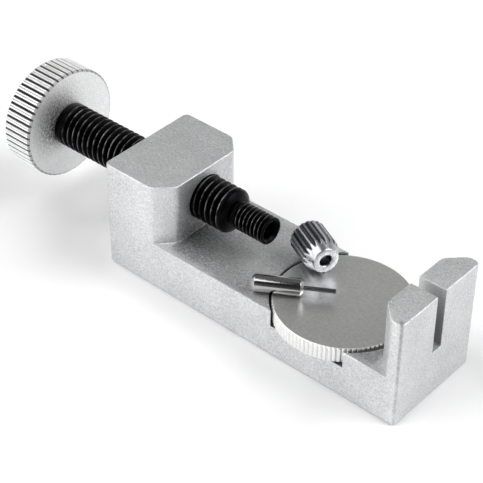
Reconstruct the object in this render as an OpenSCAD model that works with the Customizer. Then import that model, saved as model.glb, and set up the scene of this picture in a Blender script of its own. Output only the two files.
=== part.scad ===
// Screw press for pushing the pins out of watch bracelet links.
// Axes: +X from the screw towards the slotted anvil, +Y across, +Z up.
// Origin: the centre of the casting's base.

/* [Frame casting] */
// Length of the casting
frame_l = 61.5; // [58:0.5:70]
// Width of the casting
frame_w = 20; // [18:0.5:22]
// Height of the head block and of the anvil
frame_h = 20.8; // [20.5:0.1:24]
// Height of the bed between them
bed_h = 9.4; // [9:0.1:9.7]
// Length of the head block that carries the screw
head_l = 13.7; // [12:0.1:15]
// Chamfer on the head block's two front corners
head_chamfer = 3; // [1:0.1:4]
// Thickness of the anvil
anvil_t = 5.15; // [5:0.05:7]
// Chamfer on the anvil's two inner corners
anvil_chamfer = 3; // [1:0.05:4]
// Width of the anvil's slot, which the driven pin leaves through
slot_w = 2.2; // [1.5:0.1:3]
// Height of the slot's floor above the base
slot_floor_h = 9.5; // [9.5:0.1:12]

/* [Round pocket and table] */
// Radius of the round pocket in the bed
pocket_r = 12.35; // [12.2:0.05:12.4]
// Height of the pocket's floor above the base
pocket_floor_h = 6.3; // [6:0.1:6.6]
// Land between the pocket and the foot of the anvil
pocket_land = 0.2; // [0.1:0.1:0.6]
// Distance from the pocket's centre back to the table's axis
table_shift = 0.35; // [0:0.05:0.35]
// Radius of the knurled table
table_r = 11.7; // [11:0.1:11.8]
// Thickness of the table
table_t = 2.95; // [2.5:0.05:3]
// Teeth of the table's fine knurl
table_teeth = 96; // [90:2:140]
// Depth of the table's fine knurl
table_knurl = 0.2; // [0.1:0.05:0.3]

/* [Pressure screw] */
// Diameter over the crests of the main thread
screw_d = 7.9; // [7.8:0.05:8]
// Pitch of the main thread
screw_pitch = 1.25; // [1:0.25:1.25]
// Height of the screw's axis above the base
screw_h = 15.15; // [15:0.05:15.5]
// Distance from the head block's rear face to the knob
knob_stand = 18.8; // [15:0.1:20]
// Length of main thread that shows in front of the head block
thread_reach = 6; // [5:0.25:7]
// Distance from the head block's front face to the screw's front end
tip_reach = 14.3; // [14:0.1:14.5]
// Diameter over the crests of the tip's thread
tip_d = 4.82; // [4.6:0.02:5]
// Pitch of the tip's thread
tip_pitch = 0.8; // [0.7:0.1:0.8]
// Diameter of the socket in the tip
socket_d = 3.1; // [3.04:0.02:3.2]
// Depth of the socket
socket_depth = 8.8; // [7:0.1:9]

/* [Knob] */
// Radius over the knob's grip
knob_r = 10.15; // [9:0.05:11]
// Thickness of the knob
knob_t = 6.2; // [5:0.1:8]
// Grooves in the knob's grip
knob_grooves = 52; // [36:2:60]
// Depth of the knob's grooves
knob_groove = 0.45; // [0.2:0.05:0.6]

/* [Loose cap and pin] */
// Radius over the cap's flutes
cap_r = 3.14; // [3:0.02:3.2]
// Length of the cap
cap_l = 7.35; // [7:0.05:7.5]
// Length of the cap's cone
cone_l = 2; // [1.5:0.1:2.2]
// Radius of the ring at the cap's nose
nose_r = 2.22; // [2:0.02:2.4]
// Radius of the hole that the pin comes out of
nose_hole_r = 1.09; // [0.9:0.01:1.2]
// Flutes round the cap
cap_flutes = 20; // [14:1:24]
// Diameter of the pin's holder
holder_d = 3; // [2.8:0.02:3]
// Length of the holder
holder_l = 8.4; // [8:0.1:8.6]
// Diameter of the push pin
push_pin_d = 0.8; // [0.6:0.05:1]
// Length of push pin that stands out of its holder
push_pin_reach = 5.5; // [4:0.1:5.6]

/* [Hidden] */

$fn = 96;
over = 1;             // how far a cutting solid runs past the face that it cuts
running_gap = 0.05;   // radial clearance of a thread in its hole
turning_gap = 0.03;   // clearance between two pieces that turn on each other
lying_gap = 0.03;     // clearance under a piece that lies on the bed

head_front_x = head_l - frame_l / 2;
anvil_x = frame_l / 2 - anvil_t;
pocket_x = anvil_x - pocket_land - pocket_r;
table_x = pocket_x - table_shift;

// Table: at rest its underside is just clear of the pocket's floor.
table_floor_gap = 0.05;
table_z = pocket_floor_h + table_floor_gap;
stem_d = 5.9;
stem_pitch = 1;
stem_depth = 0.6;
stem_end_h = 0.8;
stem_turns = 5;
spigot_r = 2.5;
spigot_l = 1.5;

// Screw: stations along its axis, counted from the knob's rear face.
knob_rear_x = -frame_l / 2 - knob_stand - knob_t;
thread_depth = 0.614 * screw_pitch;
tip_thread_depth = 0.614 * tip_pitch;
shoulder_l = 1;
collar_l = 1.3;
neck_l = 0.6;
neck_r = 2.05;
tip_lip = 0.5;
screw_end = head_front_x + tip_reach - knob_rear_x;
thread_end = head_front_x + thread_reach - knob_rear_x;
thread_turns = floor((thread_end - knob_t - shoulder_l) / screw_pitch);
thread_start = thread_end - thread_turns * screw_pitch;
neck_start = thread_end + collar_l;
tip_start = neck_start + neck_l;
tip_turns = floor((screw_end - tip_lip - tip_start) / tip_pitch);
tip_thread_start = screw_end - tip_lip - tip_turns * tip_pitch;
socket_mouth = 0.45;
knob_bore_r = 3;

// Rivet in the back of the knob
rivet_r = 1.5;
rivet_l = 3;
rivet_head_r = 3.4;
rivet_head_t = 0.9;
rivet_recess = 0.5;

// Cap: flutes, thread bore and entry
cap_flute = 0.38;
cap_flute_w = 0.57;
cap_bore_r = 2.46;
cap_bore_l = 4.6;
cap_edge = 0.25;
cap_turn = -25.7;
cap_at = [0, 5.82, bed_h + cap_r + lying_gap];

// Pin and holder
holder_edge = 0.45;
push_pin_grip = 3.5;
pin_turn = 31.5;
pin_at = [-0.25, -8.1, bed_h + holder_d / 2 + lying_gap];

// Corner points of a toothed wheel: each tooth is a flat land and a V groove.
function toothed(radius, groove, teeth, land) = [
    for (i = [0:teeth - 1], p = [[radius, 0], [radius, land], [radius - groove, (1 + land) / 2]])
        let (a = 360 * (i + p[1]) / teeth) [p[0] * cos(a), p[0] * sin(a)]
];

// Half section of one run of thread, drawn as a ring groove at each pitch.
function thread_run(radius, depth, pitch, start, turns) = [
    for (i = [0:turns - 1], p = [[0, 0.08], [depth, 0.42], [depth, 0.58], [0, 0.92]])
        [radius - p[0], start + (i + p[1]) * pitch]
];

// Turns a solid made along +Z so that it lies along +X.
module along_x() {
    rotate([0, 90, 0]) children();
}

// Round bar whose two rims are chamfered.
module chamfered_bar(radius, length, edge) {
    rotate_extrude()
        polygon([[0, 0], [radius - edge, 0], [radius, edge], [radius, length - edge],
                 [radius - edge, length], [0, length]]);
}

// Toothed wheel whose two rims are chamfered.
module toothed_wheel(radius, thickness, groove, teeth, land, edge) {
    intersection() {
        linear_extrude(thickness) polygon(toothed(radius, groove, teeth, land));
        chamfered_bar(radius + 0.001, thickness, edge);
    }
}

// Plan of the head block: square at the rear, chamfered at the front.
module head_plan() {
    half = frame_w / 2;
    polygon([[-frame_l / 2, -half], [head_front_x - head_chamfer, -half],
             [head_front_x, head_chamfer - half], [head_front_x, half - head_chamfer],
             [head_front_x - head_chamfer, half], [-frame_l / 2, half]]);
}

// Plan of the anvil: chamfered on the side that faces the screw.
module anvil_plan() {
    half = frame_w / 2;
    polygon([[frame_l / 2, -half], [frame_l / 2, half], [anvil_x + anvil_chamfer, half],
             [anvil_x, half - anvil_chamfer], [anvil_x, anvil_chamfer - half],
             [anvil_x + anvil_chamfer, -half]]);
}

module frame() {
    color("silver") difference() {
        union() {
            translate([-frame_l / 2, -frame_w / 2, 0]) cube([frame_l, frame_w, bed_h]);
            linear_extrude(frame_h) head_plan();
            linear_extrude(frame_h) anvil_plan();
        }
        translate([-frame_l / 2 - over, 0, screw_h])
            along_x() cylinder(r = screw_d / 2 + running_gap, h = head_l + 2 * over);
        translate([pocket_x, 0, pocket_floor_h])
            cylinder(r = pocket_r, h = bed_h - pocket_floor_h + over);
        translate([table_x, 0, -over])
            cylinder(r = stem_d / 2 + running_gap, h = pocket_floor_h + 2 * over);
        translate([anvil_x - over, -slot_w / 2, slot_floor_h])
            cube([anvil_t + 2 * over, slot_w, frame_h - slot_floor_h + over]);
    }
}

module pressure_screw() {
    crest = screw_d / 2;
    tip_r = tip_d / 2;
    socket_r = socket_d / 2;
    profile = concat(
        [[rivet_r + turning_gap, rivet_recess], [knob_bore_r, rivet_recess], [knob_bore_r, knob_t],
         [crest, knob_t]],
        thread_run(crest, thread_depth, screw_pitch, thread_start, thread_turns),
        [[crest - 0.25, thread_end + 0.45], [crest - 0.95, thread_end + 1.05],
         [neck_r, neck_start], [neck_r, tip_start]],
        thread_run(tip_r, tip_thread_depth, tip_pitch, tip_thread_start, tip_turns),
        [[tip_r, screw_end - 0.15], [tip_r - 0.15, screw_end], [socket_r + socket_mouth, screw_end],
         [socket_r, screw_end - socket_mouth], [socket_r, screw_end - socket_depth],
         [0, screw_end - socket_depth - socket_r / 2], [0, rivet_l + rivet_recess + 0.3],
         [rivet_r + turning_gap, rivet_l + rivet_recess + 0.3]]
    );
    color("dimgray") translate([knob_rear_x, 0, screw_h])
        along_x() rotate_extrude() polygon(profile);
}

module thumb_knob() {
    color("gainsboro") translate([knob_rear_x, 0, screw_h]) along_x() difference() {
        toothed_wheel(knob_r, knob_t, knob_groove, knob_grooves, 0.55, 0.25);
        translate([0, 0, -over]) cylinder(r = knob_bore_r, h = knob_t + 2 * over);
        translate([0, 0, -over])
            cylinder(r = rivet_head_r + turning_gap, h = rivet_recess + over);
    }
}

module knob_rivet() {
    color("darkgray") translate([knob_rear_x + rivet_recess - turning_gap, 0, screw_h]) along_x()
        rotate_extrude()
            polygon([[0, -rivet_head_t], [rivet_head_r - 1.3, 0.12 - rivet_head_t],
                     [rivet_head_r - 0.35, 0.4 - rivet_head_t], [rivet_head_r, 0.8 - rivet_head_t],
                     [rivet_head_r, 0], [rivet_r, 0], [rivet_r, rivet_l], [0, rivet_l]]);
}

module table_disc() {
    color("lightgray") translate([table_x, 0, table_z]) difference() {
        toothed_wheel(table_r, table_t, table_knurl, table_teeth, 0.4, 0.25);
        translate([0, 0, -over]) cylinder(r = spigot_r + turning_gap, h = spigot_l + turning_gap + over);
    }
}

module table_stem() {
    stem_r = stem_d / 2;
    top = table_z - turning_gap;
    thread_top = stem_end_h + 0.3 + stem_turns * stem_pitch;
    profile = concat(
        [[0, stem_end_h], [stem_r - 0.3, stem_end_h], [stem_r, stem_end_h + 0.3]],
        thread_run(stem_r, stem_depth, stem_pitch, stem_end_h + 0.3, stem_turns),
        [[stem_r, thread_top], [stem_r, top], [spigot_r, top], [spigot_r, table_z + spigot_l],
         [0, table_z + spigot_l]]
    );
    color("darkgray") translate([table_x, 0, 0]) rotate_extrude() polygon(profile);
}

module chuck_cap() {
    color("white") translate(cap_at) rotate([0, 0, cap_turn]) along_x() difference() {
        rotate_extrude()
            polygon([[cap_bore_r + 0.3, 0], [cap_r - cap_edge, 0], [cap_r, cap_edge],
                     [cap_r, cap_l - cone_l], [nose_r, cap_l], [nose_hole_r, cap_l],
                     [nose_hole_r, cap_bore_l + 0.9], [cap_bore_r, cap_bore_l], [cap_bore_r, 0.3]]);
        for (i = [0:cap_flutes - 1])
            rotate([0, 0, (i + 0.5) * 360 / cap_flutes]) translate([0, 0, -over])
                linear_extrude(cap_l + 2 * over)
                    polygon([[cap_r - cap_flute, 0], [cap_r + cap_flute, -cap_flute_w],
                             [cap_r + cap_flute, cap_flute_w]]);
    }
}

module pin_holder() {
    color("lightsteelblue") translate(pin_at) rotate([0, 0, pin_turn]) along_x() difference() {
        chamfered_bar(holder_d / 2, holder_l, holder_edge);
        translate([0, 0, holder_l - push_pin_grip])
            cylinder(r = push_pin_d / 2, h = push_pin_grip + over);
    }
}

module push_pin() {
    color("slategray") translate(pin_at) rotate([0, 0, pin_turn]) along_x()
        translate([0, 0, holder_l - push_pin_grip])
            chamfered_bar(push_pin_d / 2, push_pin_grip + push_pin_reach, 0.06);
}

frame();
pressure_screw();
thumb_knob();
knob_rivet();
table_disc();
table_stem();
chuck_cap();
pin_holder();
push_pin();
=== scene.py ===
"""Looks of a watch bracelet link pin remover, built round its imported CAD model.

Lengths are in millimetres until a mesh is made. Each turned piece is a grid of
points: its rows run along the profile and its columns run round the axis.
"""

import logging
import math
from dataclasses import dataclass, field
from enum import Enum
from typing import Optional, Sequence, Union

import bmesh
import bpy
import numpy as np
from mathutils import Matrix, Vector


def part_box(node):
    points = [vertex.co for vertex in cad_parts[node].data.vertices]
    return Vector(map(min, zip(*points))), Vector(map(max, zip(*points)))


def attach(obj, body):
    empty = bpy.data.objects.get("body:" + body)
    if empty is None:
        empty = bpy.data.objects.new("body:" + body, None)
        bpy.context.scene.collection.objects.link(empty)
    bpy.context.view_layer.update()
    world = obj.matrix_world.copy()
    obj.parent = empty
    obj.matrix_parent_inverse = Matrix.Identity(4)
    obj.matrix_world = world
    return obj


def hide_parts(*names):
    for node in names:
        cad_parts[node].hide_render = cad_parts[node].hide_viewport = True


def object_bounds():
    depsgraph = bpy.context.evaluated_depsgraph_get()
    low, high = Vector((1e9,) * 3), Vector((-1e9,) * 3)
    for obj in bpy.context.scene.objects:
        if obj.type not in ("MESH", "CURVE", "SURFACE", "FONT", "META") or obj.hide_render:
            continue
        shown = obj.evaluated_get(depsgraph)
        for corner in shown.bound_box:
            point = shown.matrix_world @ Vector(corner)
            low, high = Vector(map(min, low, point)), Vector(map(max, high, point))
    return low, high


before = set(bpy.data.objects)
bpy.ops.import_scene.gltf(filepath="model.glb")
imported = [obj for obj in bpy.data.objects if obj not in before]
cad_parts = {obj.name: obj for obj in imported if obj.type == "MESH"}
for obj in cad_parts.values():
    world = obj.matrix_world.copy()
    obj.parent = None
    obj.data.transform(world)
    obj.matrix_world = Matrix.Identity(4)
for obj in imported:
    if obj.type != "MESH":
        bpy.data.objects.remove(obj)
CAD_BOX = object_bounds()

MM = 0.001
TABLE_SUNK = 0.1  # the table's top lies this far under the bed
SHARP = math.radians(32)  # edges that fold more than this stay sharp
log = logging.getLogger("link_pin_remover")

Colour = tuple[float, float, float]
Socket = bpy.types.NodeSocket
Piece = bpy.types.Object
Value = Union[float, Colour, Socket]


# ---------------------------------------------------------------- geometry --


@dataclass(frozen=True)
class Axis:
    """Where a turned piece stands.

    Attributes:
        origin: the point of the axis at height 0, in millimetres.
        turn: angle of a lying piece from +X towards +Y, in degrees, or None upright.
    """

    origin: Sequence[float]
    turn: Optional[float] = None

    def place(self, points: np.ndarray) -> np.ndarray:
        """Carries points made along +Z to where the piece is.

        Args:
            points: an array of points, the last axis holding x, y and z.

        Returns:
            The points in the row frame, in millimetres.
        """
        if self.turn is not None:
            lying = np.stack([points[..., 2], points[..., 1], -points[..., 0]], -1)
            c, s = math.cos(math.radians(self.turn)), math.sin(math.radians(self.turn))
            x, y = lying[..., 0], lying[..., 1]
            points = np.stack([c * x - s * y, s * x + c * y, lying[..., 2]], -1)
        return points + np.asarray(self.origin, float)


def node_box(node: str) -> tuple[np.ndarray, np.ndarray]:
    """Lowest and highest corner of a CAD node, in millimetres."""
    low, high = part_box(node)
    return np.array(low) / MM, np.array(high) / MM


def smoothstep(x: np.ndarray) -> np.ndarray:
    """Runs from 0 to 1 with level ends: 3x^2 - 2x^3 on x clipped to 0..1."""
    x = np.clip(x, 0.0, 1.0)
    return x * x * (3.0 - 2.0 * x)


def rounded(corners: Sequence[tuple[float, float, float]], steps: int = 4) -> np.ndarray:
    """Rounds the corners of an open profile.

    Each corner is (radius, height, rounding). A corner with rounding c becomes
    the curve (1-t)^2 a + 2t(1-t) p + t^2 b from a, c before the corner p, to b, c after.

    Args:
        corners: the profile's corners in order.
        steps: spans in each rounded corner.

    Returns:
        An (n, 2) array of radius and height.
    """
    made = []
    points = [np.array(c[:2], float) for c in corners]
    for i, corner in enumerate(corners):
        p, cut = points[i], corner[2]
        if cut <= 0 or i in (0, len(corners) - 1):
            made.append(p[None])
            continue
        before, after = points[i - 1] - p, points[i + 1] - p
        a = p + before / np.linalg.norm(before) * min(cut, np.linalg.norm(before) * 0.49)
        b = p + after / np.linalg.norm(after) * min(cut, np.linalg.norm(after) * 0.49)
        t = np.linspace(0, 1, steps + 1)[:, None]
        made.append((1 - t) ** 2 * a + 2 * t * (1 - t) * p + t * t * b)
    return np.concatenate(made)


@dataclass(frozen=True)
class Thread:
    """A 60 degree screw thread.

    Attributes:
        crest: radius over the crests.
        depth: depth of the groove.
        pitch: distance from crest to crest.
    """

    crest: float
    depth: float
    pitch: float

    PHASES = (0.0, 0.035, 0.05, 0.08, 0.15, 0.25, 0.36, 0.42, 0.46,
              0.54, 0.58, 0.64, 0.75, 0.85, 0.92, 0.95, 0.965)

    def groove(self, phase: np.ndarray) -> np.ndarray:
        """How deep the groove is, 0 on the crest and 1 at the root, by the turn's share."""
        away = np.abs((phase + 0.5) % 1.0 - 0.5) * 2.0
        return smoothstep((away - 0.07) / 0.79) * 0.35 + np.clip((away - 0.1) / 0.73, 0, 1) * 0.65

    def rows(self, angles: np.ndarray, start: float, end: float,
             run_out: tuple[float, float] = (1.0, 1.0),
             inside: bool = False) -> tuple[np.ndarray, np.ndarray, np.ndarray]:
        """Rows that follow the helix, so that every crest is one line of the grid.

        A row's height is start + pitch * (count + phase + angle / 2 pi), held
        between start and end, and its radius is crest - depth * groove(phase).

        Args:
            angles: the columns' angles.
            start: height where the thread begins.
            end: height where it ends.
            run_out: pitches over which the groove fades at each end.
            inside: True for a nut's thread, whose groove goes outwards.

        Returns:
            Three (rows, columns) arrays: radii, heights, and 1 on the crests' tops,
            0 in the grooves and where the thread fades.
        """
        turns = int(math.ceil((end - start) / self.pitch)) + 1
        count = (np.arange(-1, turns)[:, None] + np.array(self.PHASES)).ravel()
        heights = start + self.pitch * (count[:, None] + angles / (2 * math.pi))
        heights = np.clip(heights, start, end)
        phase = (heights - start) / self.pitch - angles / (2 * math.pi)
        share = self.groove(phase)
        rubbed = 1.0 - np.clip(share * 12, 0, 1)
        for fade, gap in zip(run_out, (heights - start, end - heights)):
            full = smoothstep(gap / (fade * self.pitch))
            share, rubbed = share * full, rubbed * full
        sign = 1.0 if inside else -1.0
        return self.crest + sign * self.depth * share, heights, rubbed


def toothed_angles(teeth: int, phases: Sequence[float]) -> np.ndarray:
    """Angles of the columns of a toothed wheel, the same phases in every tooth."""
    return ((np.arange(teeth)[:, None] + np.array(phases)) * 2 * math.pi / teeth).ravel()


def circle(columns: int) -> np.ndarray:
    """Angles of evenly spaced columns."""
    return np.arange(columns) * 2 * math.pi / columns


def tooth_groove(angles: np.ndarray, teeth: int, land: float) -> np.ndarray:
    """Depth share of a V groove with a slightly rounded root, 0 on the land."""
    phase = (angles * teeth / (2 * math.pi)) % 1.0
    away = np.abs(phase - (1 + land) / 2) / ((1 - land) / 2)
    return np.clip(1.08 * (1 - away), 0, 1) ** 0.9


class Turned:
    """A turned solid, built up row by row from its rear pole round to its front."""

    def __init__(self, angles: np.ndarray) -> None:
        """Starts with no rows.

        Args:
            angles: the angle of each column, rising, in radians.
        """
        self.angles = angles
        self.radii: list[np.ndarray] = []
        self.heights: list[np.ndarray] = []
        self.marks: list[np.ndarray] = []

    def profile(self, points: np.ndarray, mark: float = 0.0,
                reach: Optional[np.ndarray] = None) -> "Turned":
        """Adds a row for each point of a profile. What teeth take off it becomes its mark.

        Args:
            points: (n, 2) radii and heights.
            mark: value of the piece's mark attribute on these rows.
            reach: the greatest radius that teeth leave in each column.

        Returns:
            This solid.
        """
        ones = np.ones_like(self.angles)
        radii, heights = points[:, :1] * ones, points[:, 1:] * ones
        marks = np.full_like(radii, mark)
        if reach is not None:
            taken = np.maximum(radii - reach, 0.0)
            radii, marks = radii - taken, np.maximum(taken, mark)
        self.radii += list(radii)
        self.heights += list(heights)
        self.marks += list(marks)
        return self

    def thread(self, thread: Thread, start: float, end: float, run_out: tuple[float, float],
               inside: bool = False) -> "Turned":
        """Adds a thread's rows. Its marks are 1 on the crests and 0 in the grooves."""
        radii, heights, rubbed = thread.rows(self.angles, start, end, run_out, inside)
        step = -1 if inside else 1
        self.radii += list(radii[::step])
        self.heights += list(heights[::step])
        self.marks += list(rubbed[::step])
        return self

    def build(self, name: str, axis: Axis, ring: bool = False) -> Piece:
        """Makes the closed mesh.

        Args:
            name: the piece's name.
            axis: where the piece stands.
            ring: True joins the last row to the first, as on a piece with a hole
                through it. False closes both ends with a pole on the axis.

        Returns:
            The object, at the origin, with its place in its mesh.
        """
        radii, heights = np.array(self.radii), np.array(self.heights)
        rows, columns = radii.shape
        points = np.stack(
            [radii * np.cos(self.angles), radii * np.sin(self.angles), heights], -1)
        grid = np.arange(rows * columns).reshape(rows, columns)
        if ring:
            grid = np.concatenate([grid, grid[:1]])
        right = np.roll(grid, -1, 1)
        quads = np.stack([grid[:-1], right[:-1], right[1:], grid[1:]], -1).reshape(-1, 4)
        points, faces = points.reshape(-1, 3), quads.tolist()
        marks = np.array(self.marks).ravel()
        if not ring:
            poles = np.array([[0, 0, heights[0].mean()], [0, 0, heights[-1].mean()]])
            points = np.concatenate([points, poles])
            marks = np.concatenate([marks, [0, 0]])
            low, high = rows * columns, rows * columns + 1
            first, last = grid[0], grid[-1]
            faces += np.stack([np.full(columns, low), np.roll(first, -1), first], -1).tolist()
            faces += np.stack([np.full(columns, high), last, np.roll(last, -1)], -1).tolist()
        return make_piece(name, axis.place(points), faces, marks)


def put(name: str, data: bpy.types.ID) -> Piece:
    """Makes an object and links it into the scene."""
    made = bpy.data.objects.new(name, data)
    bpy.context.scene.collection.objects.link(made)
    return made


def shaded(name: str, mesh: bpy.types.Mesh) -> Piece:
    """Smooths a mesh between its sharp edges and puts it into the scene."""
    mesh.shade_smooth()
    mesh.set_sharp_from_angle(angle=SHARP)
    return put(name, mesh)


def make_piece(name: str, points: np.ndarray, faces: list, marks: np.ndarray) -> Piece:
    """Puts points and faces into a mesh, merges its doubles and shades it.

    Args:
        name: the piece's name.
        points: (n, 3) points in millimetres.
        faces: lists of point numbers, outward by the right-hand rule.
        marks: a value for each point, kept as the attribute "mark".

    Returns:
        The linked object.
    """
    mesh = bpy.data.meshes.new(name)
    mesh.from_pydata((points * MM).tolist(), [], faces)
    layer = mesh.attributes.new("mark", "FLOAT", "POINT")
    layer.data.foreach_set("value", marks.astype(np.float32))
    work = bmesh.new()
    work.from_mesh(mesh)
    bmesh.ops.remove_doubles(work, verts=work.verts, dist=2e-7)
    bmesh.ops.dissolve_degenerate(work, edges=work.edges, dist=1e-7)
    work.to_mesh(mesh)
    work.free()
    return shaded(name, mesh)


# --------------------------------------------------------------- materials --


class Shader:
    """A metal's node tree, built a node at a time on the piece's own coordinates."""

    NOISE = (0.3, 0.7)

    def __init__(self, name: str) -> None:
        """Makes a material with one metallic Principled shader.

        Args:
            name: the material's name.
        """
        self.material = bpy.data.materials.new(name)
        self.material.use_nodes = True
        self.tree = self.material.node_tree
        self.surface = self.tree.nodes["Principled BSDF"]
        self.surface.inputs["Metallic"].default_value = 1.0
        coordinates = self.node("TexCoord").outputs["Object"]
        scaled = self.node("VectorMath", {0: coordinates, "Scale": 1 / MM}, operation="SCALE")
        self.place = scaled.outputs[0]

    def node(self, kind: str, inputs: Optional[dict] = None, **settings: str) -> bpy.types.Node:
        """Adds a node, sets its properties and feeds its inputs."""
        made = self.tree.nodes.new("ShaderNode" + kind)
        for key, value in settings.items():
            setattr(made, key, value)
        for key, value in (inputs or {}).items():
            self.feed(made.inputs[key], value)
        return made

    def feed(self, socket: Socket, value: Value) -> None:
        """Gives an input a number, a colour, a vector or another node's output."""
        if isinstance(value, Socket):
            self.tree.links.new(value, socket)
        else:
            socket.default_value = (*value, 1.0) if socket.type == "RGBA" else value

    def math(self, operation: str, *values: Value) -> Socket:
        """One step of arithmetic on numbers or outputs."""
        return self.node("Math", dict(enumerate(values)), operation=operation).outputs[0]

    def product(self, *values: Value) -> Socket:
        """Product of several numbers or outputs."""
        made = values[0]
        for value in values[1:]:
            made = self.math("MULTIPLY", made, value)
        return made

    def coordinates(self) -> list[Socket]:
        """The x, y and z of a place on the piece, in millimetres."""
        return list(self.node("SeparateXYZ", {0: self.place}).outputs)

    def noise(self, grain: float, detail: float = 2.0, rough: float = 0.5,
              stretch: Optional[Sequence[float]] = None) -> Socket:
        """Noise with features about grain millimetres across.

        Args:
            grain: size of a feature.
            detail: octaves of finer noise.
            rough: weight of the finer octaves.
            stretch: factors on x, y and z before the noise is read.

        Returns:
            The noise's value output.
        """
        place = self.place
        if stretch is not None:
            place = self.node("Mapping", {"Vector": place, "Scale": stretch}).outputs[0]
        made = self.node("TexNoise", {"Vector": place, "Scale": 1 / grain, "Detail": detail,
                                      "Roughness": rough})
        return made.outputs["Fac"]

    def spread(self, value: Value, low: float, high: float, to_low: float = 0.0,
               to_high: float = 1.0) -> Socket:
        """Maps low..high to to_low..to_high, held at the ends."""
        numbers = (value, low, high, to_low, to_high)
        return self.node("MapRange", dict(enumerate(numbers))).outputs[0]

    def vary(self, noise: Socket, low: float, high: float) -> Socket:
        """Maps the range that a noise mostly keeps to, to low..high."""
        return self.spread(noise, *self.NOISE, low, high)

    def mix(self, share: Value, first: Value, second: Value) -> Socket:
        """Mixes two colours by share."""
        return self.node("Mix", {0: share, 6: first, 7: second}, data_type="RGBA").outputs[2]

    def mark(self) -> Socket:
        """The piece's own mark attribute."""
        return self.node("Attribute", attribute_name="mark").outputs["Fac"]

    def length(self, vector: Socket, counted: tuple[int, int, int]) -> Socket:
        """Length of a vector along the axes that are marked 1 in counted."""
        flat = self.node("VectorMath", {0: vector, 1: counted}, operation="MULTIPLY").outputs[0]
        return self.node("VectorMath", {0: flat}, operation="LENGTH").outputs["Value"]

    def from_axis(self, axis: Axis) -> Socket:
        """Distance from a turned piece's axis, in millimetres."""
        place = {"Vector": self.place, "Location": axis.origin,
                 "Rotation": (0, 0, math.radians(axis.turn or 0))}
        turned = self.node("Mapping", place, vector_type="TEXTURE")
        return self.length(turned.outputs[0], (1, 1, 0) if axis.turn is None else (0, 1, 1))

    def rings(self, axis: Axis, pitch: float) -> Socket:
        """Fine turning rings, as noise read along the distance from the axis."""
        read = {"W": self.from_axis(axis), "Scale": 1 / pitch, "Detail": 3.0}
        return self.node("TexNoise", read, noise_dimensions="1D").outputs["Fac"]

    def bump(self, *layers: tuple[Socket, float]) -> None:
        """Stacks bumps; each layer is a height and its depth in millimetres."""
        under = {}
        for height, depth in layers:
            made = self.node("Bump", {"Height": height, "Distance": depth * MM, **under})
            under = {"Normal": made.outputs[0]}
        self.feed(self.surface.inputs["Normal"], made.outputs[0])

    def finish(self, colour: Value, roughness: Value) -> bpy.types.Material:
        """Joins the colour and the roughness and returns the material."""
        self.feed(self.surface.inputs["Base Color"], colour)
        self.feed(self.surface.inputs["Roughness"], roughness)
        return self.material


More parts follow.
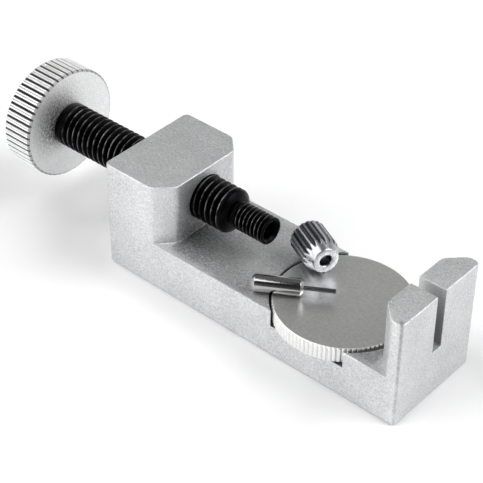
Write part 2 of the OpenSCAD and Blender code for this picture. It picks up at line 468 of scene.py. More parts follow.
@dataclass(frozen=True)
class BlastedCasting:
    """Bead-blasted cast aluminium, with speckled soiling on the bed, and shade painted into the
    pocket, the slot, down the anvil's near corner, into the corner at the head's foot and where
    the screw shades the head's front face.

    Attributes:
        light: colour of its grains.
        dark: colour between the grains.
        grime_and_shade: colour of the soiling and of the painted shade.
        grain: size of a grain, in millimetres.
        depth: depth of the grain.
        pocket: radius of the round pocket.
        pocket_ahead: distance forward from the table's axis to the pocket's.
        head: length of the head block.
        anvil: thickness of the anvil with its roundings.
        slot: half the width of the slot with its roundings.
    """

    light: Colour = (0.885, 0.888, 0.895)
    dark: Colour = (0.45, 0.455, 0.465)
    grime_and_shade: Colour = (0.16, 0.16, 0.165)
    grain: float = 0.22
    depth: float = 0.12
    pocket: float = 12.35
    pocket_ahead: float = 0.35
    head: float = 13.7
    anvil: float = 5.57
    slot: float = 1.17

    def painted_hollow_shade(self, s: Shader) -> Socket:
        """Share of painted shade: inside the round pocket and the slot, stronger low in the slot,
        and nowhere else.
        """
        low, high = node_box("table_disc")
        end, side, top = node_box("frame")[1]
        centre, rim = (low + high) / 2, self.pocket + 0.05
        x, y, z = s.coordinates()
        away = s.from_axis(Axis((centre[0] + self.pocket_ahead, centre[1], 0.0)))
        beside = s.math("ABSOLUTE", y)
        pocket = s.product(s.math("LESS_THAN", away, rim),
                           s.math("LESS_THAN", beside, side - 0.03),
                           s.math("GREATER_THAN", z, low[2] - 0.1),
                           s.spread(z, high[2] - 0.6, high[2] + 0.09, 1.0, 0.0))
        slot = s.product(s.math("LESS_THAN", beside, self.slot),
                         s.math("GREATER_THAN", x, end - self.anvil),
                         s.math("LESS_THAN", x, end - 0.04),
                         s.math("GREATER_THAN", z, high[2] + 0.4),
                         s.spread(z, high[2] + 0.5, top - 0.1, 0.75, 0.3))
        return s.math("MAXIMUM", pocket, slot)

    def grime_and_painted_shadow(self, s: Shader) -> Socket:
        """Share of speckled soiling and painted shade on the bed and low on the head's front face,
        thickest by the head block and the anvil.
        """
        low, high = node_box("frame")
        foot, bed = low[0] + self.head, node_box("table_disc")[1][2] + TABLE_SUNK
        x, y, z = s.coordinates()
        from_foot = s.node("VectorMath", {0: s.place, 1: (foot, 0.0, bed)}, operation="SUBTRACT")
        away = s.length(from_foot.outputs[0], (1, 0, 1))
        # Thickest at the head block's foot, where shade is painted into the corner, and towards
        # the anvil.
        thick = s.math("MAXIMUM", s.spread(away, 0.5, 10.0, 0.75, 0.3),
                       s.spread(x, high[0] - 13.0, high[0] - 8.0, 0.0, 0.62))
        specks = s.spread(s.noise(0.45, 3.0, 0.7), 0.42, 0.6)
        # Painted shadow of the screw: above the bed, the share is full on the near side and a
        # quarter on the far side.
        screw_shadow_side = s.math("MAXIMUM", s.spread(y, -1.0, 4.5, 1.0, 0.25),
                          s.math("LESS_THAN", z, bed + 0.3))
        return s.product(thick, s.math("ADD", s.math("MULTIPLY", specks, 0.65), 0.35), screw_shadow_side,
                         s.spread(s.math("ABSOLUTE", y), 8.4, 9.6, 1.0, 0.0),
                         s.spread(x, high[0] - 5.7, high[0] - 5.2, 1.0, 0.0),
                         s.spread(x, foot - 0.3, foot - 0.1),
                         s.spread(z, bed + 3.0, bed + 9.0, 1.0, 0.0))

    def painted_corner_shade(self, s: Shader) -> Socket:
        """Share of the soft dark line of painted shade down the anvil's near outer corner."""
        (low, high), reach = node_box("frame"), 0.5
        x, y, z = s.coordinates()
        across = s.math("ABSOLUTE", s.math("ADD", s.math("ADD", x, y), -high[0] - low[1]))
        ragged = s.spread(s.noise(0.9, 2.0), 0.35, 0.65, 0.5, 1.0)
        return s.product(s.spread(across, reach * 0.3, reach, 1.0, 0.0), ragged,
                         s.spread(z, 2.0, high[2] - 5.0, 0.3, 0.6),
                         s.math("GREATER_THAN", x, high[0] - 1.0),
                         s.math("LESS_THAN", y, low[1] + 1.0))

    def material(self) -> bpy.types.Material:
        """Builds the material."""
        s = Shader("blasted_casting")
        fine = s.noise(self.grain, 3.0, 0.65)
        clouds = s.spread(s.noise(5.0, 3.0), 0.35, 0.65, -0.06, 0.08)
        pits = s.spread(s.noise(0.4, 1.0), 0.3, 0.42, 1.0, 0.0)
        tone = s.math("ADD", s.vary(fine, 0.2, 0.95), clouds)
        tone = s.math("SUBTRACT", tone, s.math("MULTIPLY", pits, 0.2))
        s.bump((s.noise(0.55, 2.0), self.depth * 0.8), (fine, self.depth))
        metal = s.mix(tone, self.dark, self.light)
        # Painted shade in the hollows and down the anvil's corner, joined with the soiling and the
        # painted shadow on the bed.
        dirt_and_shade = s.math("MAXIMUM", s.math("MAXIMUM", self.painted_hollow_shade(s), self.painted_corner_shade(s)), self.grime_and_painted_shadow(s))
        return s.finish(s.mix(dirt_and_shade, metal, self.grime_and_shade), s.vary(fine, 0.5, 0.36))


@dataclass(frozen=True)
class BlackOxide:
    """Oiled black oxide on a thread whose crests are rubbed bright."""

    black: Colour = (0.004, 0.004, 0.0045)
    scuffed: Colour = (0.014, 0.014, 0.015)
    bright: Colour = (0.15, 0.15, 0.155)

    def material(self) -> bpy.types.Material:
        """Builds the material."""
        s = Shader("black_oxide")
        patches = s.spread(s.noise(1.1, 3.0), 0.4, 0.6, 0.12, 1.0)
        rubbed = s.math("MULTIPLY", s.mark(), patches)
        scuffs = s.noise(0.12, 2.0)
        tone = s.mix(s.spread(scuffs, 0.35, 0.75, 0.0, 0.25), self.black, self.scuffed)
        s.bump((scuffs, 0.008))
        return s.finish(s.mix(rubbed, tone, self.bright), s.vary(scuffs, 0.3, 0.45))


@dataclass(frozen=True)
class TurnedMetal:
    """Turned metal: fine rings, a satin grain, painted shade in its grooves' roots, and on some
    pieces a painted shadow by the screw's root.

    Attributes:
        name: the material's name.
        axis: the piece's axis, which the rings run round.
        light: the metal's colour.
        grime_and_shade: colour of the grain's dark specks, of the painted shade in the grooves'
            roots and of the painted screw shadow.
        groove: depth at which a groove is fully dark, in millimetres.
        roughness: lowest and highest roughness.
        ring_depth: depth of the rings, in millimetres.
        grain_depth: depth of the grain, in millimetres.
        screw_shadow_reach: radius that the painted shadow by the screw's root reaches, or 0 where
            none is painted.
        front: height along the axis beyond which a face takes the painted shadow.
    """

    name: str
    axis: Axis
    light: Colour
    grime_and_shade: Colour
    groove: float = 0.4
    roughness: tuple[float, float] = (0.22, 0.34)
    ring_depth: float = 0.004
    grain_depth: float = 0.004
    screw_shadow_reach: float = 0.0
    front: float = 6.0

    def painted_screw_shadow(self, s: Shader) -> Socket:
        """Share of a speckled painted shadow of the screw, spread from the screw's root over one
        side of the face.
        """
        (x, y, z), origin = s.coordinates(), self.axis.origin
        front, specks = origin[0] + self.front, s.noise(0.42, 2.0, 0.7)
        return s.product(s.spread(s.from_axis(self.axis), self.screw_shadow_reach * 0.45, self.screw_shadow_reach, 1.0, 0.0),
                         s.spread(y, -3.5, 2.5, 1.0, 0.0),
                         s.spread(z, origin[2] - 5.0, origin[2] - 0.5),
                         s.spread(specks, 0.42, 0.58, 0.25, 1.0),
                         s.spread(x, front - 0.1, front + 0.1))

    def material(self) -> bpy.types.Material:
        """Builds the material."""
        s = Shader(self.name)
        rings = s.rings(self.axis, 0.12)
        grain = s.noise(0.24, 2.0)
        # Painted shade: darker where the piece's mark is larger, as in the roots of cut grooves.
        deep = s.spread(s.mark(), self.groove * 0.01, self.groove * 0.5)
        tone = s.mix(s.vary(grain, 0.0, 0.16), self.light, self.grime_and_shade)
        # The screw's speckled shadow is painted on one side of the face.
        if self.screw_shadow_reach > 0:
            tone = s.mix(self.painted_screw_shadow(s), tone, self.grime_and_shade)
        s.bump((rings, self.ring_depth), (grain, self.grain_depth))
        rough = s.math("ADD", s.spread(rings, 0.35, 0.65, *self.roughness),
                       s.math("MULTIPLY", deep, 0.25))
        return s.finish(s.mix(deep, tone, self.grime_and_shade), rough)


@dataclass(frozen=True)
class GroundSteel:
    """A turned plate with a flat ground top, softly reflecting, and a bright grip on its rim.

    Attributes:
        name: the material's name.
        axis: the plate's axis.
        top: radius of its ground top.
        light: the metal's colour.
        dark: colour of its scratches, and of the shade painted into the grip's grooves.
        groove: depth of the grip's grooves, in millimetres.
        grip: colour of the grip.
        roughness: lowest and highest roughness of the top.
    """

    name: str
    axis: Axis
    top: float
    light: Colour
    dark: Colour
    groove: float = 0.25
    grip: Colour = (0.93, 0.93, 0.925)
    roughness: tuple[float, float] = (0.34, 0.4)

    def material(self) -> bpy.types.Material:
        """Builds the material."""
        s = Shader(self.name)
        scratches = s.noise(0.09, 3.0, 0.6, stretch=(0.05, 1.0, 1.0))
        dots = s.noise(0.2, 2.0)
        mottle = s.spread(s.noise(0.55, 3.0, 0.65), 0.35, 0.65, 0.0, 0.4)
        rim = s.math("GREATER_THAN", s.from_axis(self.axis), self.top)
        # Painted shade in the grip's grooves, by how deep each is cut.
        deep = s.spread(s.mark(), self.groove * 0.3, self.groove, 0.0, 0.6)
        flat = s.mix(s.math("ADD", s.vary(scratches, 0.0, 0.2), mottle), self.light, self.dark)
        dirt_and_shade = s.math("MAXIMUM", deep, s.spread(dots, 0.5, 0.62, 0.0, 0.4))
        s.bump((scratches, 0.003), (dots, 0.004))
        rough = s.math("ADD", s.vary(dots, *self.roughness), s.math("MULTIPLY", rim, 0.2))
        return s.finish(s.mix(rim, flat, s.mix(dirt_and_shade, self.grip, self.dark)), rough)


@dataclass(frozen=True)
class PlatedMetal:
    """Bright plating with faint scratches and cloudy patches, and shade painted into its grooves'
    roots.

    Attributes:
        name: the material's name.
        light: the plating's colour.
        shade: colour of its clouds, and of the shade painted into its grooves' roots.
        roughness: lowest and highest roughness.
        groove: depth of the grooves, in millimetres.
    """

    name: str
    light: Colour
    shade: Colour
    roughness: tuple[float, float]
    groove: float = 0.4

    def material(self) -> bpy.types.Material:
        """Builds the material."""
        s = Shader(self.name)
        clouds = s.noise(0.7, 3.0)
        scratches = s.noise(0.06, 2.0, 0.6, stretch=(0.15, 1.0, 1.0))
        # Painted shade: darker where the piece's mark is larger, as in the roots of cut grooves.
        deep = s.spread(s.mark(), self.groove * 0.15, self.groove, 0.0, 0.85)
        tone = s.mix(s.spread(clouds, 0.35, 0.7, 0.0, 0.25), self.light, self.shade)
        s.bump((scratches, 0.0015), (clouds, 0.006))
        return s.finish(s.mix(deep, tone, self.shade), s.vary(clouds, *self.roughness))


# ---------------------------------------------------------- sub-assemblies --


def dress(piece: Piece, material: bpy.types.Material, body: str, slot: str,
          *nodes: str) -> Piece:
    """Gives a piece its material and its body, and hides the CAD nodes that it stands for.

    Args:
        piece: the finished piece.
        material: its material.
        body: the CAD body that it rides on.
        slot: not used.
        nodes: CAD nodes that it replaces.

    Returns:
        The piece.
    """
    piece.data.materials.clear()
    piece.data.materials.append(material)
    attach(piece, body)
    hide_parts(*nodes)
    log.info("%s: %d faces, rides on %s", piece.name, len(piece.data.polygons), body)
    return piece


class Edge(Enum):
    """Kinds of edge on the casting, with the width of their rounding in millimetres."""

    FLAT = 0.0
    CORNER = 0.95
    FOLD = 0.7
    RIM = 0.21
    BASE = 0.75
    FOOT = 0.24
    MACHINED = 0.12
    NARROW = 0.08


@dataclass
class Casting:
    """The frame: head block, bed and slotted anvil in one casting."""

    segments: int = 4
    side_strip: float = 5.8
    flat: float = math.radians(0.4)
    finish: BlastedCasting = field(default_factory=BlastedCasting)

    def __post_init__(self) -> None:
        """Reads the casting's box and the height of its bed."""
        self.low, self.high = node_box("frame")
        self.bed = node_box("table_disc")[1][2] + TABLE_SUNK

    def upright(self, edge: bmesh.types.BMEdge) -> Edge:
        """Kind of an upright outer edge, FLAT for every other edge."""
        a, b = (np.array(v.co) / MM for v in edge.verts)
        if len(edge.link_faces) != 2 or abs(a[2] - b[2]) < 5 or abs(a[1]) < 5:
            return Edge.FLAT
        fold = math.degrees(edge.calc_face_angle(0.0))
        if not edge.is_convex or fold < 20:
            return Edge.FLAT
        return Edge.CORNER if fold > 80 else Edge.FOLD

    def level(self, edge: bmesh.types.BMEdge) -> Edge:
        """Kind of a level edge, from its height and from how it folds."""
        if len(edge.link_faces) != 2 or edge.calc_face_angle(0.0) < math.radians(40):
            return Edge.FLAT
        a, b = (np.array(v.co) / MM for v in edge.verts)
        if abs(a[2] - b[2]) > 0.01:
            return Edge.MACHINED
        height, sides = a[2], np.minimum(np.abs(a), np.abs(b))
        outside = sides[0] > self.high[0] - 1.2 or sides[1] > self.high[1] - 1.2
        if height < self.low[2] + 0.01:
            return Edge.BASE if outside else Edge.MACHINED
        if height > self.high[2] - 0.01:
            return Edge.MACHINED if max(abs(a[1]), abs(b[1])) < 1.3 else Edge.RIM
        if self.bed + 0.05 < height < self.bed + 0.3 and max(a[0], b[0]) < self.high[0] - 4.0:
            # the slot's floor ends 0.1 mm above the anvil's foot: no room for a rounding
            return Edge.FLAT
        if abs(height - self.bed) < 0.05:
            # the pocket's rim comes within 0.2 mm of the anvil's foot, so both get NARROW
            if not edge.is_convex:
                return Edge.NARROW if a[0] > 0 or sides[1] > self.high[1] - 0.8 else Edge.FOOT
            return Edge.RIM if sides[1] > self.high[1] - 0.01 else Edge.NARROW
        return Edge.MACHINED

    def tidy_sides(self, work: bmesh.types.BMesh) -> None:
        """Cuts the faces beside the bores, and joins the flat pieces that lie outside the cuts.

        The uprights are then met by whole faces alone, which lets them be rounded cleanly.

        Args:
            work: the merged casting.
        """
        for side in (-self.side_strip, self.side_strip):
            bmesh.ops.bisect_plane(work, geom=work.verts[:] + work.edges[:] + work.faces[:],
                                   dist=1e-7, plane_co=(0, side * MM, 0), plane_no=(0, 1, 0))
        spare = []
        for edge in work.edges:
            reach = sorted(abs(v.co.y) / MM for v in edge.verts)
            outside = reach[0] > self.side_strip - 0.001 and reach[1] > self.side_strip + 0.001
            if outside and len(edge.link_faces) == 2 and edge.calc_face_angle(0.0) < self.flat:
                spare.append(edge)
        bmesh.ops.dissolve_edges(work, edges=spare, use_verts=False)

    def build(self) -> Piece:
        """Merges a copy of the CAD casting, rounds its uprights, then its level edges."""
        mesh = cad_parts["frame"].data.copy()
        work = bmesh.new()
        work.from_mesh(mesh)
        bmesh.ops.remove_doubles(work, verts=work.verts, dist=2e-6)
        bmesh.ops.dissolve_limit(work, angle_limit=self.flat, verts=work.verts, edges=work.edges)
        self.tidy_sides(work)
        for kind in (Edge.CORNER, Edge.FOLD):
            edges = [edge for edge in work.edges if self.upright(edge) is kind]
            bmesh.ops.bevel(work, geom=edges, offset=kind.value * MM, segments=self.segments + 2,
                            profile=0.5, affect="EDGES", clamp_overlap=False)
        weights = work.edges.layers.float.new("bevel_weight_edge")
        for edge in work.edges:
            edge[weights] = self.level(edge).value / Edge.BASE.value
        work.to_mesh(mesh)
        work.free()
        mesh.name = "casting"
        piece = shaded("casting", mesh)
        bevel = piece.modifiers.new("rounding", "BEVEL")
        bevel.width = Edge.BASE.value * MM
        bevel.segments = self.segments
        bevel.limit_method = "WEIGHT"
        bevel.use_clamp_overlap = False
        bevel.harden_normals = True
        return dress(piece, self.finish.material(), "frame", "casting", "frame")


@dataclass
class PressureScrew:
    """The black screw with its thin threaded tip, and the knob and rivet on its rear."""

    pitch: float = 1.25
    tip_pitch: float = 0.8
    tip_crest: float = 2.41
    tip_length: float = 6.7
    plain_rear: float = 1.0
    collar: float = 1.6
    neck: float = 2.05
    socket: float = 1.55
    socket_depth: float = 8.8
    knob_bore: float = 3.0
    rivet_hole: float = 1.53
    rivet_depth: float = 3.3
    grooves: int = 52
    groove_depth: float = 0.45
    knob_edge: float = 0.28
    edge_shade: float = 0.12
    scratch: float = 0.3
    scratch_at: float = 0.26
    scratch_width: float = 0.1
    land: float = 0.55
    columns: int = 96

    DEPTH = 0.614  # of a thread's groove, as a share of its pitch
    PHASES = (0, 0.05, 0.16, 0.26, 0.36, 0.5, 0.55, 0.62, 0.7, 0.775, 0.85, 0.93)

    def __post_init__(self) -> None:
        """Reads the stations along the axis from the CAD boxes."""
        knob_low, knob_high = node_box("thumb_knob")
        screw_low, screw_high = node_box("pressure_screw")
        self.crest = (screw_high[1] - screw_low[1]) / 2
        self.knob_r = (knob_high[1] - knob_low[1]) / 2
        self.knob_t = knob_high[0] - knob_low[0]
        height = (screw_low[2] + screw_high[2]) / 2
        self.axis = Axis((knob_low[0], 0.0, height), 0.0)
        self.end = screw_high[0] - knob_low[0]
        self.rear = screw_low[0] - knob_low[0]

    def screw(self) -> Piece:
        """Spigot, main thread, collar, neck, tip thread and socket, in one shell."""
        body = Thread(self.crest, self.DEPTH * self.pitch, self.pitch)
        tip = Thread(self.tip_crest, self.DEPTH * self.tip_pitch, self.tip_pitch)
        crest, neck, tip_crest, socket = self.crest, self.neck, self.tip_crest, self.socket
        bore, hole, rear = self.knob_bore, self.rivet_hole, self.rear
        front, end = self.knob_t, self.end
        start, tip_start = front + self.plain_rear, end - self.tip_length
        thread_end, hole_end = tip_start - self.collar, rear + self.rivet_depth
        solid = Turned(circle(self.columns))
        spigot = [(0.0, hole_end, 0), (hole, hole_end, 0.1), (hole, rear, 0.05), (bore, rear, 0.1),
                  (bore, front, 0.0)]
        solid.profile(rounded(spigot)[1:])
        solid.profile(rounded([(bore, front, 0), (crest, front, 0.12), (crest, start, 0)])[1:])
        solid.thread(body, start, thread_end, run_out=(1.0, 0.3))
        collar = [(crest, thread_end, 0.0), (crest - 0.18, thread_end + 0.4, 0.3),
                  (crest - 1.0, thread_end + 1.0, 0.3), (neck, tip_start - 0.45, 0.2),
                  (neck, tip_start, 0.1), (tip_crest, tip_start + 0.3, 0.05),
                  (tip_crest, tip_start + 0.35, 0.0)]
        solid.profile(rounded(collar)[1:])
        solid.thread(tip, tip_start + 0.35, end - 0.3, run_out=(0.5, 0.3))
        mouth = [(tip_crest, end - 0.3, 0), (tip_crest, end - 0.12, 0.05),
                 (tip_crest - 0.12, end, 0.05), (socket + 0.45, end, 0.05),
                 (socket, end - 0.45, 0.1), (socket, end - self.socket_depth, 0.1),
                 (0.0, end - self.socket_depth - socket / 2, 0)]
        solid.profile(rounded(mouth, 3)[1:-1])
        piece = solid.build("pressure_screw_threads", self.axis)
        finish = BlackOxide()
        return dress(piece, finish.material(), "press_screw", "black_screw", "pressure_screw")

    def knob(self) -> Piece:
        """The knob: a ring whose rim carries straight grooves, with a scratch on each land."""
        angles = toothed_angles(self.grooves, self.PHASES)
        away = np.abs((angles * self.grooves / (2 * math.pi)) % 1.0 - self.scratch_at)
        scratch = np.clip(1 - away / self.scratch_width, 0, 1) * self.scratch
        groove = tooth_groove(angles, self.grooves, self.land) + scratch
        radius, thick, edge, bore = self.knob_r, self.knob_t, self.knob_edge, self.knob_bore
        reach = radius - self.groove_depth * groove
        low, high = node_box("knob_rivet")
        recess = (high[2] - low[2]) / 2 + 0.03
        solid = Turned(angles)
        back = [(bore, 0.5, 0), (recess, 0.5, 0.05), (recess, 0.0, 0.1), (radius * 0.6, 0.0, 0.0),
                (radius - 1.0, 0.0, 0.0)]
        solid.profile(rounded(back)[:-1])
        rim = [(radius - 1.0, 0.0, 0), (radius - edge, 0.0, 0.08), (radius, edge, 0.08),
               (radius, thick / 2, 0), (radius, thick - edge - 0.1, 0)]
        solid.profile(rounded(rim, 5), reach=reach)
        chamfer = [(radius, thick - edge - 0.1, 0), (radius, thick - edge, 0.06),
                   (radius - edge, thick, 0.06), (radius - edge - 0.08, thick, 0)]
        # The chamfer's mark paints a line of shade round the face's edge.
        solid.profile(rounded(chamfer, 5)[1:], self.edge_shade, reach)
        face = [(radius - edge - 0.1, thick, 0), (radius - edge - 0.12, thick, 0),
                (radius - 1.0, thick, 0), (radius * 0.6, thick, 0), (4.6, thick, 0),
                (bore + 0.08, thick, 0.06), (bore, thick - 0.2, 0)]
        solid.profile(rounded(face)[1:])
        piece = solid.build("knob_knurled", self.axis, ring=True)
        finish = TurnedMetal(
            "knob_aluminium", self.axis, (0.96, 0.962, 0.965), (0.1, 0.099, 0.095),
            groove=self.groove_depth, roughness=(0.42, 0.55), ring_depth=0.004, grain_depth=0.12,
            screw_shadow_reach=9.6)
        return dress(piece, finish.material(), "press_screw", "knob_metal", "thumb_knob")

    def rivet(self) -> Piece:
        """The peened rivet in the knob's back, with a flat spun crown."""
        low, high = node_box("knob_rivet")
        head = (high[2] - low[2]) / 2
        rear, front = low[0] - self.axis.origin[0], high[0] - self.axis.origin[0]
        seat = rear + 0.9
        crown = [(0.0, rear + 0.14, 0), (0.7, rear + 0.14, 0.2), (0.95, rear, 0.12),
                 (head * 0.62, rear, 0.2), (head - 0.3, rear + 0.32, 0.3),
                 (head, rear + 0.75, 0.1), (head, seat, 0.04), (1.5, seat, 0.04),
                 (1.5, front, 0.1), (0.0, front, 0)]
        solid = Turned(circle(64)).profile(rounded(crown)[1:-1])
        piece = solid.build("knob_rivet_peened", self.axis)
        finish = TurnedMetal("rivet_steel", self.axis, (0.6, 0.6, 0.61), (0.25, 0.25, 0.25))
        return dress(piece, finish.material(), "feed", "rivet_steel", "knob_rivet")


@dataclass
class Table:
    """The round table, with a fine knurl on its rim, and its threaded stem."""

    teeth: int = 96
    knurl: float = 0.2
    land: float = 0.4
    spigot: float = 2.5
    hole_depth: float = 1.53
    stem_pitch: float = 1.0
    columns: int = 64

    def __post_init__(self) -> None:
        """Reads the sizes from the CAD boxes."""
        self.low, self.high = node_box("table_disc")
        self.stem_low, self.stem_high = node_box("table_stem")
        self.radius = (self.high[0] - self.low[0]) / 2
        centre = (self.low + self.high) / 2
        self.axis = Axis((centre[0], centre[1], 0.0))

    def disc(self) -> Piece:
        """The table: a ground top, chamfered rims and a blind hole for the stem."""
        angles = toothed_angles(self.teeth, (0, 0.2, 0.4, 0.55, 0.7, 0.85))
        groove = tooth_groove(angles, self.teeth, self.land)
        radius, low, high = self.radius, self.low[2], self.high[2]
        reach = radius - self.knurl * groove
        hole, depth = self.spigot + 0.03, self.hole_depth
        solid = Turned(angles)
        under = [(0.0, low + depth, 0), (hole, low + depth, 0.05), (hole, low, 0.08),
                 (radius * 0.6, low, 0), (radius - 0.7, low, 0)]
        solid.profile(rounded(under)[1:-1])
        rim = [(radius - 0.7, low, 0), (radius - 0.28, low, 0.08), (radius, low + 0.28, 0.06),
               (radius, (low + high) / 2, 0), (radius, high - 0.25, 0.05),
               (radius - 0.25, high, 0.06), (radius - 0.7, high, 0)]
        solid.profile(rounded(rim, 4), reach=reach)
        solid.profile(np.array([(radius * 0.75, high), (radius * 0.4, high), (0.5, high)]))
        piece = solid.build("table_knurled", self.axis)
        finish = GroundSteel("table_steel", self.axis, radius - 0.26, (0.97, 0.985, 0.96),
                             (0.66, 0.67, 0.65), self.knurl)
        return dress(piece, finish.material(), "table", "table_metal", "table_disc")

    def stem(self) -> Piece:
        """The stem: a plain spigot above a thread."""
        low, high = self.stem_low[2], self.stem_high[2]
        crest = (self.stem_high[0] - self.stem_low[0]) / 2
        top = self.low[2] - 0.03
        thread = Thread(crest, 0.6 * self.stem_pitch, self.stem_pitch)
        solid = Turned(circle(self.columns))
        foot = [(0.0, low, 0), (crest - 0.35, low, 0.1), (crest, low + 0.35, 0.05),
                (crest, low + 0.4, 0)]
        solid.profile(rounded(foot)[1:])
        solid.thread(thread, low + 0.4, top - 0.15, run_out=(0.6, 0.5))
        shoulder = [(crest, top - 0.15, 0), (crest, top, 0.04), (self.spigot, top, 0.04),
                    (self.spigot, high, 0.1), (0.0, high, 0)]
        solid.profile(rounded(shoulder)[1:-1])
        piece = solid.build("table_stem_threads", self.axis)
        finish = TurnedMetal("stem_steel", self.axis, (0.55, 0.55, 0.57), (0.3, 0.3, 0.3),
                             groove=3.0)
        return dress(piece, finish.material(), "stem", "stem_steel", "table_stem")


@dataclass
class LoosePieces:
    """The fluted cap, and the pin in its holder, that lie on the bed and the table."""

    cap_turn: float = -25.7
    cap_radius: float = 3.14
    cap_length: float = 7.35
    cone: float = 2.0
    nose: float = 2.22
    nose_hole: float = 1.09
    flutes: int = 20
    flute_depth: float = 0.38
    cap_bore: float = 2.2
    thread_end: float = 4.5
    thread_depth: float = 0.25
    thread_pitch: float = 0.8
    cone_shade: float = 0.1
    pin_turn: float = 31.5
    holder: float = 1.5
    holder_length: float = 8.4
    pin: float = 0.4
    pin_hole_depth: float = 3.5

    def lying_axis(self, node: str, radius: float, turn: float) -> Axis:
        """Axis of a round piece that lies along turn, from its CAD box.

        The rear end's rim lies radius * sin(turn) behind the axis in x and radius * cos(turn)
        beside it in y, and the axis is radius above the box's floor.

        Args:
            node: the CAD node whose box holds it.
            radius: its greatest radius.
            turn: its direction in degrees.

        Returns:
            The axis, with height 0 at the piece's rear end.
        """
        low, high = node_box(node)
        c, s = math.cos(math.radians(turn)), math.sin(math.radians(turn))
        y = high[1] - radius * c if s < 0 else low[1] + radius * c
        return Axis((low[0] + radius * abs(s), y, low[2] + radius), turn)

    def cap(self) -> Piece:
        """The cap: flutes that run out on its cone, a threaded bore and a nose hole."""
        radius, length = self.cap_radius, self.cap_length
        axis = self.lying_axis("chuck_cap", radius, self.cap_turn)
        angles = toothed_angles(self.flutes, np.linspace(0, 1, 16, endpoint=False))
        phase = (angles * self.flutes / (2 * math.pi)) % 1.0
        groove = np.clip(0.5 - 0.72 * np.cos(2 * math.pi * phase), 0, 1)
        reach = radius - self.flute_depth * groove
        shoulder = length - self.cone
        cone = rounded([(radius - 0.25, 0.0, 0.1), (radius, 0.25, 0.1),
                        (radius, shoulder * 0.5, 0), (radius, shoulder, 0.12),
                        (self.nose + 0.08, length - 0.1, 0.0)], 5)
        slope = np.linspace(cone[-2], cone[-1], 14)[1:-1]
        outside = np.concatenate([cone[:-1], slope, cone[-1:]])
        bore, hole, thread_end = self.cap_bore, self.nose_hole, self.thread_end
        solid = Turned(angles)
        solid.profile(np.array([(bore + 0.5, 0.0)]))
        barrel = len(cone) - 4
        # What the flutes take off marks their roots, where the finish paints shade.
        solid.profile(outside[:barrel], reach=reach)
        # The cone is marked lightly, so its finish paints a little shade over it.
        solid.profile(outside[barrel:], self.cone_shade, reach)
        mouth = [(self.nose + 0.08, length - 0.1, 0), (self.nose, length, 0.06),
                 (hole + 0.1, length, 0.06), (hole, length - 0.12, 0)]
        solid.profile(rounded(mouth, 4)[1:])
        inside = [(hole, length - 0.12, 0), (hole, length - 0.2, 0), (hole, 5.5, 0.1),
                  (bore, thread_end + 0.1, 0.1), (bore, thread_end, 0)]
        # The nose hole and the taper behind it are marked fully, and their finish paints them dark
        # with shade.
        solid.profile(rounded(inside, 4)[1:], self.flute_depth)
        thread = Thread(bore, self.thread_depth, self.thread_pitch)
        solid.thread(thread, 0.35, thread_end, run_out=(0.3, 0.5), inside=True)
        solid.profile(np.array([(bore + 0.3, 0.1)]))
        piece = solid.build("cap_fluted", axis, ring=True)
        finish = PlatedMetal("cap_nickel", (0.56, 0.57, 0.605), (0.05, 0.05, 0.065), (0.24, 0.34),
                             groove=0.3)
        return dress(piece, finish.material(), "cap", "cap_chrome", "chuck_cap")

    def pin_axis(self) -> Axis:
        """Axis of the holder and its pin."""
        return self.lying_axis("pin_holder", self.holder, self.pin_turn)

    def pin_holder(self) -> Piece:
        """The holder: a polished round bar with broad chamfers and a hole for the pin."""
        radius, length, pin = self.holder, self.holder_length, self.pin
        edge, depth = 0.45, self.pin_hole_depth
        corners = [(0.0, 0.0, 0), (radius - edge, 0.0, 0.06), (radius, edge, 0.06),
                   (radius, length / 2, 0), (radius, length - edge, 0.06),
                   (radius - edge, length, 0.06), (pin + 0.12, length, 0.04),
                   (pin, length - 0.1, 0.04), (pin, length - depth, 0), (0.0, length - depth, 0)]
        solid = Turned(circle(72)).profile(rounded(corners)[1:-1])
        piece = solid.build("pin_holder_polished", self.pin_axis())
        finish = PlatedMetal("holder_steel", (0.43, 0.42, 0.425), (0.3, 0.3, 0.3), (0.1, 0.16))
        return dress(piece, finish.material(), "pin", "holder_steel", "pin_holder")

    def push_pin(self) -> Piece:
        """The push pin, with a flat ground end."""
        front, base = node_box("push_pin")[1][0], self.pin_axis()
        turn = math.radians(self.pin_turn)
        reach = (front - base.origin[0] - self.pin * math.sin(turn)) / math.cos(turn)
        start, radius = self.holder_length - self.pin_hole_depth + 0.05, self.pin - 0.02
        corners = [(0.0, start, 0), (radius, start, 0), (radius, self.holder_length, 0),
                   (radius, reach - 0.06, 0.03), (radius - 0.06, reach, 0.03), (0.0, reach, 0)]
        solid = Turned(circle(32)).profile(rounded(corners, 3)[1:-1])
        piece = solid.build("push_pin_ground", base)
        finish = TurnedMetal("pin_steel", base, (0.2, 0.2, 0.21), (0.1, 0.1, 0.1),
                             ring_depth=0.002)
        return dress(piece, finish.material(), "pin", "pin_steel", "push_pin")


# ------------------------------------------------------------------ studio --


def direction(azimuth: float, elevation: float) -> Vector:
    """Unit vector at an elevation, with its azimuth counted from -Y towards +X, in degrees."""
    a, e = math.radians(azimuth), math.radians(elevation)
    return Vector((math.sin(a) * math.cos(e), -math.cos(a) * math.cos(e), math.sin(e)))


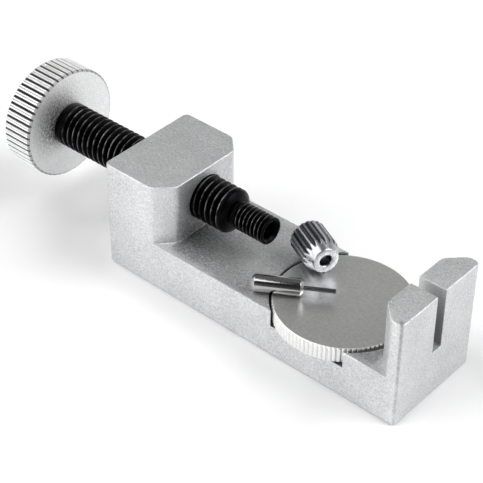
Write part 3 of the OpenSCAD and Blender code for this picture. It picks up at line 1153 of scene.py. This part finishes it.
@dataclass
class Studio:
    """Pale floor, soft lights and the camera."""

    aim: tuple[float, float, float] = (-10.55, 1.62, 8.0)
    distance: float = 265.8
    azimuth: float = 40.928
    elevation: float = 38.419
    roll: float = 0.527
    lens: float = 117.66
    sky_high: float = 0.2
    sky_low: float = 1.0
    shade: float = 0.15

    def back(self) -> Vector:
        """Direction from the aim point to the camera."""
        return direction(self.azimuth, self.elevation)

    def camera(self) -> None:
        """Places the camera at the aim point's distance, level but for a small roll."""
        data = bpy.data.cameras.new("camera")
        data.lens, data.sensor_width = self.lens, 36.0
        data.clip_start, data.clip_end = 0.01, 10.0
        made = put("camera", data)
        turn = (-self.back()).to_track_quat("-Z", "Y").to_matrix().to_4x4()
        made.matrix_world = (
            Matrix.Translation((Vector(self.aim) + self.back() * self.distance) * MM)
            @ turn @ Matrix.Rotation(math.radians(self.roll), 4, "Z"))
        bpy.context.scene.camera = made

    def floor(self) -> None:
        """A wide pale floor just under the casting."""
        mesh = bpy.data.meshes.new("floor")
        half = 1.5
        corners = [(-half, -half, 0), (half, -half, 0), (half, half, 0), (-half, half, 0)]
        mesh.from_pydata(corners, [], [(0, 1, 2, 3)])
        mesh.transform(Matrix.Translation((0, 0, CAD_BOX[0].z - 0.02 * MM)))
        floor = put("floor", mesh)
        material = bpy.data.materials.new("pale_floor")
        material.use_nodes = True
        surface = material.node_tree.nodes["Principled BSDF"]
        surface.inputs["Base Color"].default_value = (0.93, 0.93, 0.935, 1)
        surface.inputs["Roughness"].default_value = 0.9
        surface.inputs["Specular IOR Level"].default_value = 0.0
        mesh.materials.append(material)

    def softbox(self, name: str, azimuth: float, elevation: float, distance: float,
                size: tuple[float, float], watts: float) -> None:
        """A rectangular light that faces the object.

        Args:
            name: the light's name.
            azimuth: direction that it stands in, in degrees from -Y towards +X.
            elevation: height above the horizon, in degrees.
            distance: from the aim point, in metres.
            size: width and height in metres.
            watts: its power.
        """
        data = bpy.data.lights.new(name, "AREA")
        data.shape, data.size, data.size_y = "RECTANGLE", size[0], size[1]
        data.energy = watts
        made, away = put(name, data), direction(azimuth, elevation)
        made.location = Vector(self.aim) * MM + away * distance
        made.rotation_euler = (-away).to_track_quat("-Z", "Y").to_euler()

    def sky(self) -> None:
        """A sky that is paler at the horizon than overhead, and dark round the camera."""
        world = bpy.data.worlds.new("studio")
        bpy.context.scene.world = world
        world.use_nodes = True
        tree = world.node_tree
        place = tree.nodes.new("ShaderNodeTexCoord").outputs["Generated"]
        split = tree.nodes.new("ShaderNodeSeparateXYZ")
        tree.links.new(place, split.inputs[0])
        toward = tree.nodes.new("ShaderNodeVectorMath")
        toward.operation = "DOT_PRODUCT"
        tree.links.new(place, toward.inputs[0])
        toward.inputs[1].default_value = self.back()
        both = tree.nodes.new("ShaderNodeMath")
        both.operation = "MULTIPLY"
        for into, source, numbers in (
                (0, split.outputs["Z"], (0.05, 0.6, self.sky_low, self.sky_high)),
                (1, toward.outputs["Value"], (0.55, 0.8, 1.0, self.shade))):
            ramp = tree.nodes.new("ShaderNodeMapRange")
            for socket, value in zip(ramp.inputs[1:], numbers):
                socket.default_value = value
            tree.links.new(source, ramp.inputs[0])
            tree.links.new(ramp.outputs[0], both.inputs[into])
        tree.links.new(both.outputs[0], tree.nodes["Background"].inputs["Strength"])
        tree.nodes["Background"].inputs["Color"].default_value = (1, 1, 1, 1)

    def build(self) -> None:
        """Makes the whole studio."""
        self.camera()
        self.floor()
        self.sky()
        self.softbox("key", -40, 52, 0.9, (0.85, 0.85), 6.0)
        self.softbox("front", -12, 12, 0.9, (0.9, 0.45), 2.3)
        self.softbox("fill", 120, 44, 0.9, (0.55, 0.55), 5.8)
        view = bpy.context.scene.view_settings
        view.view_transform = "Standard"
        view.look = "None"
        log.info("studio ready")


def main() -> None:
    """Builds the studio, then each sub-assembly in order."""
    logging.basicConfig(level=logging.INFO, format="%(name)s: %(message)s")
    Studio().build()
    Casting().build()
    press = PressureScrew()
    press.screw()
    press.knob()
    press.rivet()
    table = Table()
    table.disc()
    table.stem()
    loose = LoosePieces()
    loose.cap()
    loose.pin_holder()
    loose.push_pin()


if __name__ == "__main__":
    main()
